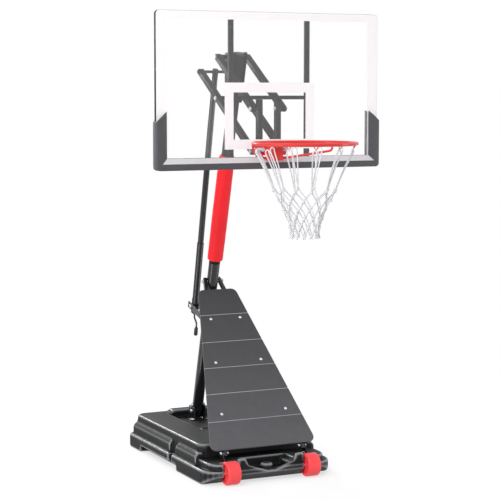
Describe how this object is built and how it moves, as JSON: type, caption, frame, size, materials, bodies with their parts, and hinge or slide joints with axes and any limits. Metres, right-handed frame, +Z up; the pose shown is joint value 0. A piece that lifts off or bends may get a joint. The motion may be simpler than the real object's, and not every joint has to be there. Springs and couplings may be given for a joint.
{
  "type": "portable basketball hoop",
  "caption": "Wheeled portable basketball hoop: ballast tank, leaning pole with front struts and panel, clear board lifted on parallel arms by a cranked jack, breakaway rim with net.",
  "frame": {"origin": "on the floor, at the middle of the ballast tank's underside, in the hoop's plane of symmetry", "axes": "+Z up, +X to the right seen from the player's side, -Y from the board towards the player"},
  "size_m": [1.153, 1.6058, 2.2102],
  "materials": {
    "tank_plastic": "blow-moulded black polyethylene",
    "panel_plastic": "moulded dark grey plastic with grooves",
    "black_steel": "glossy black powder coat",
    "zinc": "zinc-plated steel",
    "clear_acrylic": "clear acrylic sheet with printed white lines",
    "grey_pad": "moulded soft dark grey plastic",
    "red_foam": "red vinyl-skinned foam sleeve",
    "red_steel": "red powder coat",
    "red_wheel": "moulded red plastic",
    "black_plastic": "moulded black plastic",
    "nylon": "white knotted nylon cord"
  },
  "bodies": {
    "base": {"base_tank": "tank_plastic", "axle_left": "zinc", "axle_right": "zinc", "pole_foot_bracket": "black_steel", "foot_bolt_lower": "zinc", "foot_bolt_upper": "zinc", "strut_foot_left": "black_steel", "strut_foot_right": "black_steel", "strut_foot_bolt_left": "zinc", "strut_foot_bolt_right": "zinc", "front_strut_left": "black_steel", "front_strut_right": "black_steel", "strut_top_bolt": "zinc", "front_panel": "panel_plastic", "panel_bolt_1": "zinc", "panel_bolt_2": "zinc", "panel_bolt_3": "zinc", "panel_bolt_4": "zinc", "panel_bolt_5": "zinc", "panel_bolt_6": "zinc", "pole_lower": "black_steel", "pole_upper": "black_steel", "pole_cap": "black_plastic", "pole_pad": "red_foam", "head_bracket": "black_steel", "upper_pivot_bolt": "zinc", "lower_pivot_bolt": "zinc", "jack_bracket": "black_steel"},
    "wheel_left": {"wheel_left": "red_wheel"},
    "wheel_right": {"wheel_right": "red_wheel"},
    "fill_cap": {"fill_cap": "black_plastic"},
    "upper_arms": {"upper_arm_left": "black_steel", "upper_arm_right": "black_steel"},
    "lower_arms": {"lower_arm_left": "black_steel", "lower_arm_right": "black_steel", "lift_crossbar": "black_steel"},
    "board": {"board_sheet": "clear_acrylic", "board_frame": "black_steel", "board_upright_left": "black_steel", "board_upright_right": "black_steel", "board_rail": "black_steel", "arm_bracket_left": "black_steel", "arm_bracket_right": "black_steel", "upper_front_bolt_left": "zinc", "upper_front_bolt_right": "zinc", "lower_front_bolt_left": "zinc", "lower_front_bolt_right": "zinc", "edge_pad": "grey_pad", "rim_mount": "red_steel", "spring_bolt_left": "zinc", "spring_bolt_right": "zinc", "rim_spring_left": "zinc", "rim_spring_right": "zinc"},
    "rim": {"rim": "red_steel", "net": "nylon"},
    "jack_inner": {"jack_inner_tube": "black_steel"},
    "jack_outer": {"jack_outer_tube": "black_steel", "jack_pivot_bolt": "zinc"},
    "crank": {"crank_rod": "black_steel"},
    "crank_grip": {"crank_grip": "black_plastic"}
  },
  "joints": [
    {"name": "wheel_left_spin", "type": "hinge", "parent": "base", "child": "wheel_left", "pos_m": [-0.2105, -0.542, 0.0575], "axis": [1, 0, 0], "continuous": true},
    {"name": "wheel_right_spin", "type": "hinge", "parent": "base", "child": "wheel_right", "pos_m": [0.2105, -0.542, 0.0575], "axis": [1, 0, 0], "continuous": true},
    {"name": "fill_cap_turn", "type": "hinge", "parent": "base", "child": "fill_cap", "pos_m": [-0.085, 0.03, 0.1403], "axis": [0, 0, 1], "continuous": true},
    {"name": "lift", "type": "hinge", "parent": "base", "child": "upper_arms", "pos_m": [0, -0.1101, 2.012], "axis": [-1, 0, 0], "range_deg": [0, 50]},
    {"name": "lower_arm_swing", "type": "hinge", "parent": "base", "child": "lower_arms", "pos_m": [0, -0.1101, 1.812], "axis": [-1, 0, 0], "range_deg": [0, 50]},
    {"name": "board_level", "type": "hinge", "parent": "upper_arms", "child": "board", "pos_m": [0, -0.5052, 1.76416], "axis": [-1, 0, 0], "range_deg": [-50, 0]},
    {"name": "rim_break", "type": "hinge", "parent": "board", "child": "rim", "pos_m": [0, -0.5348, 1.54816], "axis": [1, 0, 0], "range_deg": [0, 15], "stiffness_Nm_per_rad": 60, "springref_deg": -20.05, "deforming": ["rim_spring_left", "rim_spring_right"]},
    {"name": "jack_swing", "type": "hinge", "parent": "lower_arms", "child": "jack_inner", "pos_m": [0, 0.09744, 1.94219], "axis": [-1, 0, 0], "range_deg": [-51, 0]},
    {"name": "jack_stroke", "type": "slide", "parent": "jack_inner", "child": "jack_outer", "axis": [0, -0.21, 0.9777], "range_m": [0, 0.206]},
    {"name": "crank_turn", "type": "hinge", "parent": "jack_outer", "child": "crank", "pos_m": [0, 0.36673, 0.68859], "axis": [0, -0.21, 0.9777], "range_deg": [0, 9230]},
    {"name": "grip_spin", "type": "hinge", "parent": "crank", "child": "crank_grip", "pos_m": [-0.01065, 0.32959, 0.58038], "axis": [0, -0.21, 0.9777], "continuous": true}
  ],
  "couplings": [
    {"joint": "lower_arm_swing", "follows": "lift", "ratio": 1},
    {"joint": "board_level", "follows": "lift", "ratio": -1},
    {"joint": "jack_swing", "follows": "lift", "ratio": -1.002},
    {"joint": "jack_stroke", "follows": "lift", "m_per_rad": 0.235},
    {"joint": "crank_turn", "follows": "lift", "ratio": 184.57}
  ]
}
